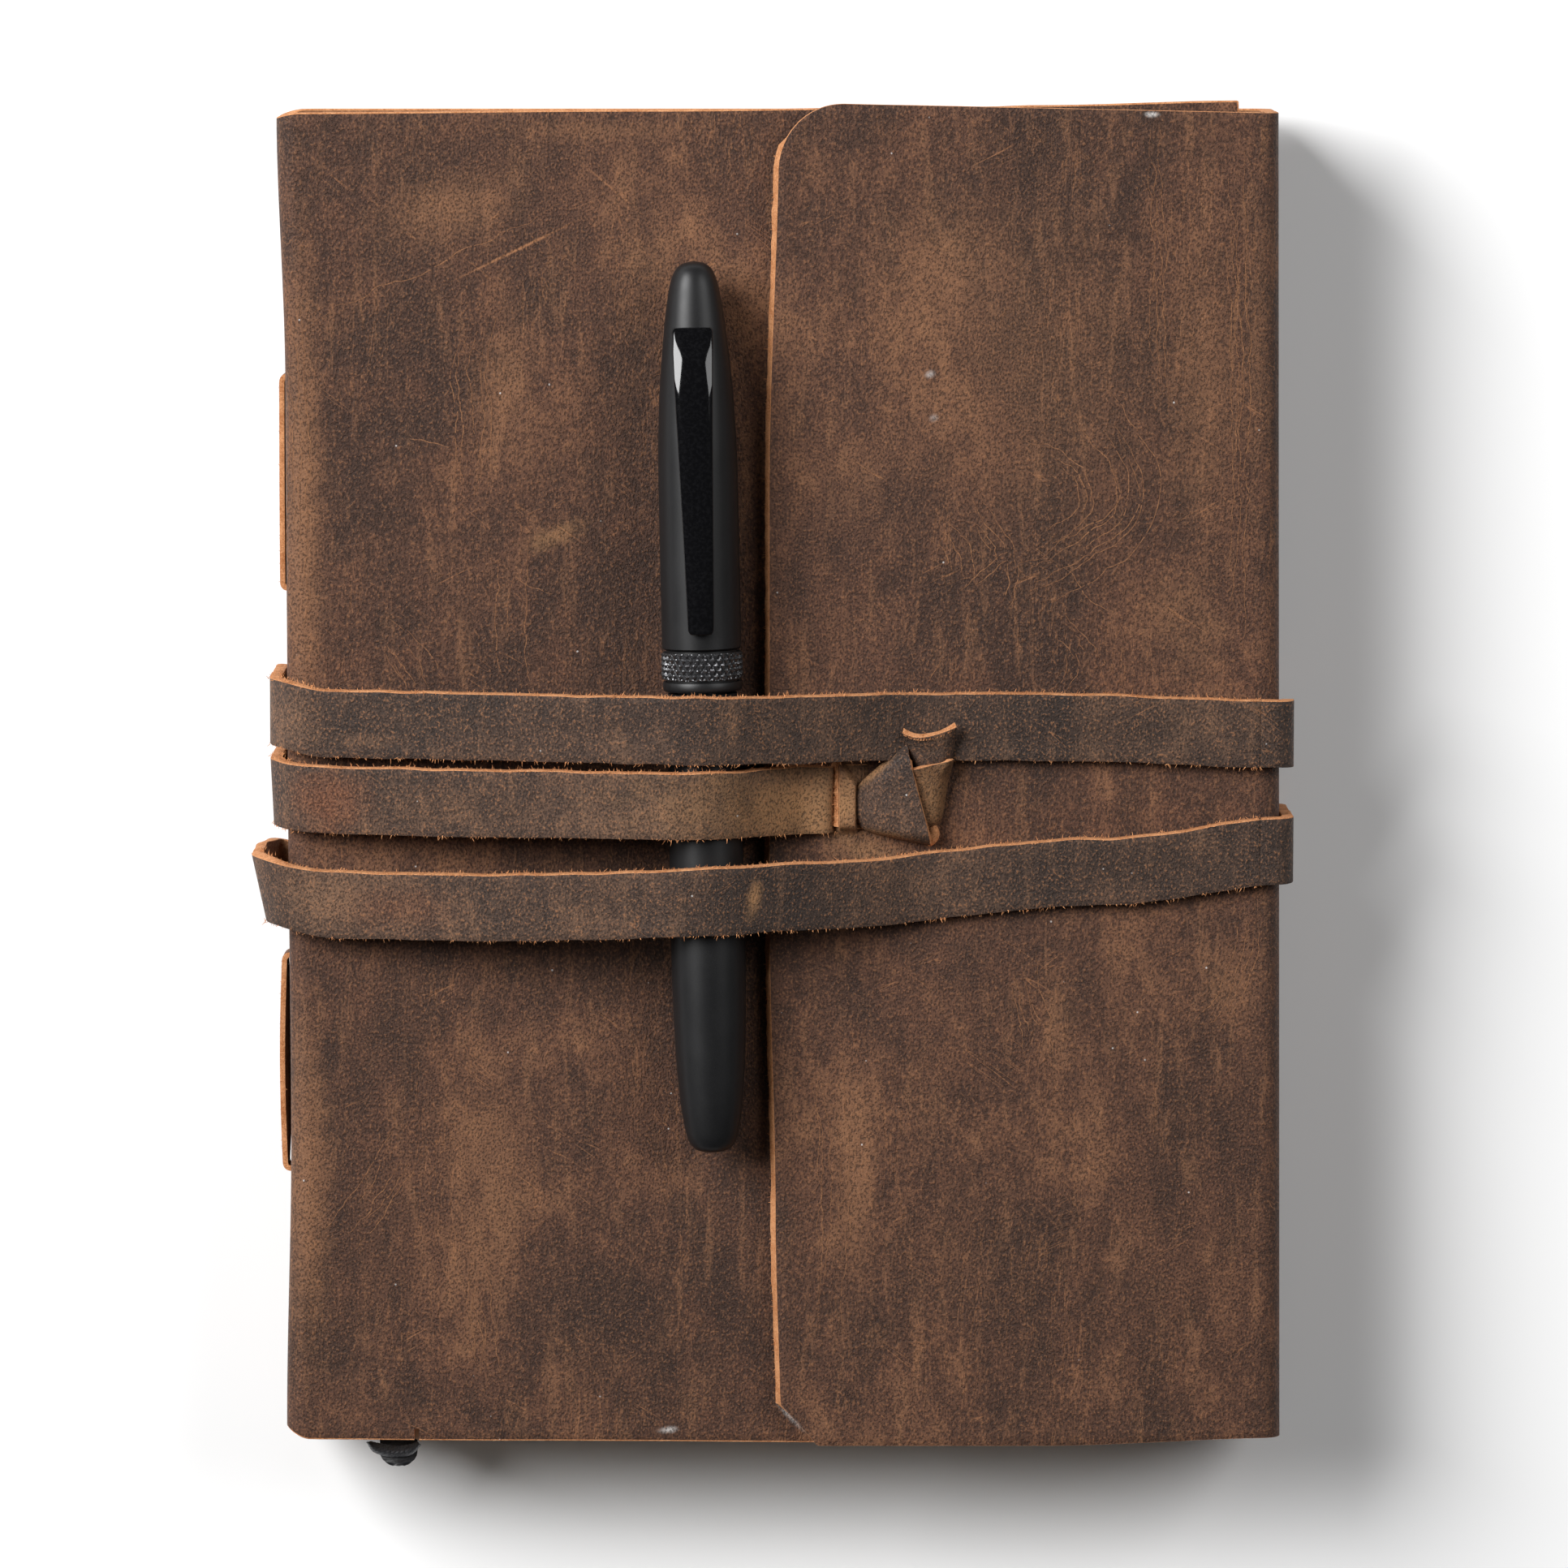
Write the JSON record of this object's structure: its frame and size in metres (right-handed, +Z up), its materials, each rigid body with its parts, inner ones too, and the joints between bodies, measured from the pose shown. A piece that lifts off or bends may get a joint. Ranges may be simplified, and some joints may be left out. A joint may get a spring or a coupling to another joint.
{
  "type": "notebook cover",
  "caption": "Wrap-around brown leather notebook cover, closed, with a front flap, a wound and knotted leather thong, a laced-in paper refill, a ribbon marker and a capped pen under the thong.",
  "frame": {"origin": "on the table under the middle of the closed cover, on the under face of the thong's lower back run", "axes": "+X from the spine towards the fore edge, +Y towards the head of the book, +Z up off the table, with the cover lying on its back"},
  "size_m": [0.157, 0.2084, 0.0409],
  "materials": {
    "hide": "waxed pull-up brown leather with a matt, scuffed grain and raw tan cut edges",
    "thong": "worn waxed leather strip with raw tan edges",
    "lace": "narrow waxed leather strip, raw tan flesh side",
    "card": "plain kraft card",
    "paper": "uncoated cream writing paper",
    "ribbon": "black ribbed grosgrain",
    "pen_matte_black": "matt black coated brass",
    "pen_gloss_black": "polished black plated steel",
    "pen_knurled_black": "diamond-knurled black plated metal",
    "pen_plastic": "moulded translucent white plastic",
    "pen_steel": "turned steel"
  },
  "bodies": {
    "root": {"back_panel": "hide", "spine_panel": "hide", "spine_lace_upper": "lace", "spine_lace_lower": "lace", "refill_back_card": "card", "refill_spine_card": "card", "page_signature_1": "paper", "page_signature_2": "paper", "page_signature_3": "paper", "page_signature_4": "paper", "page_signature_5": "paper", "ribbon_marker": "ribbon", "strap_back_run_first": "thong", "strap_back_run_second": "thong", "strap_back_tail": "thong", "strap_fore_edge_turn_upper": "thong", "strap_fore_edge_turn_lower": "thong"},
    "fore_edge": {"fore_edge_panel": "hide"},
    "flap": {"flap_panel": "hide", "strap_top_run": "thong", "strap_middle_run": "thong", "strap_bottom_run": "thong", "strap_tuck": "thong", "strap_knot_fold": "thong", "strap_knot_wrap": "thong", "strap_end": "thong"},
    "front_cover": {"front_panel": "hide"},
    "refill_cover": {"refill_front_card": "card"},
    "pen_body": {"pen_barrel": "pen_matte_black", "pen_grip_section": "pen_matte_black", "pen_ink_refill": "pen_plastic", "pen_writing_tip": "pen_steel"},
    "pen_cap": {"pen_cap_shell": "pen_matte_black", "pen_inner_cap": "pen_plastic", "pen_knurled_band": "pen_knurled_black", "pen_cap_lip_ring": "pen_matte_black"},
    "pen_clip_blade": {"pen_clip": "pen_gloss_black"}
  },
  "joints": [
    {"name": "fore_edge_fold", "type": "hinge", "parent": "root", "child": "fore_edge", "pos_m": [0.0756, 0, 0.0042], "axis": [0, 1, 0], "range_deg": [0, 90], "deforming": ["flap_panel", "strap_top_run", "strap_middle_run", "strap_bottom_run", "strap_tuck", "strap_knot_fold", "strap_knot_wrap", "strap_end", "strap_fore_edge_turn_upper", "strap_fore_edge_turn_lower"]},
    {"name": "flap_fold", "type": "hinge", "parent": "fore_edge", "child": "flap", "pos_m": [0.0756, 0, 0.0287], "axis": [0, 1, 0], "range_deg": [0, 82]},
    {"name": "front_cover_fold", "type": "hinge", "parent": "root", "child": "front_cover", "pos_m": [-0.0752, 0, 0.0243], "axis": [0, -1, 0], "range_deg": [0, 188]},
    {"name": "refill_cover_fold", "type": "hinge", "parent": "root", "child": "refill_cover", "pos_m": [-0.0703, 0, 0.0236], "axis": [0, -1, 0], "range_deg": [0, 86]},
    {"name": "pen_slide", "type": "slide", "parent": "flap", "child": "pen_body", "axis": [-0.0208, 0.9998, 0], "range_m": [0, 0.08]},
    {"name": "cap_pull", "type": "slide", "parent": "pen_body", "child": "pen_cap", "axis": [-0.0208, 0.9998, 0], "range_m": [0, 0.045]},
    {"name": "clip_flex", "type": "hinge", "parent": "pen_cap", "child": "pen_clip_blade", "pos_m": [-0.0128, 0.06897, 0.0395], "axis": [-0.9998, -0.0208, 0], "range_deg": [0, 4], "stiffness_Nm_per_rad": 0.5}
  ],
  "couplings": [
    {"joint": "flap_fold", "follows": "fore_edge_fold", "ratio": 0.9},
    {"joint": "front_cover_fold", "follows": "fore_edge_fold", "ratio": 2.08},
    {"joint": "refill_cover_fold", "follows": "fore_edge_fold", "ratio": 0.95}
  ]
}
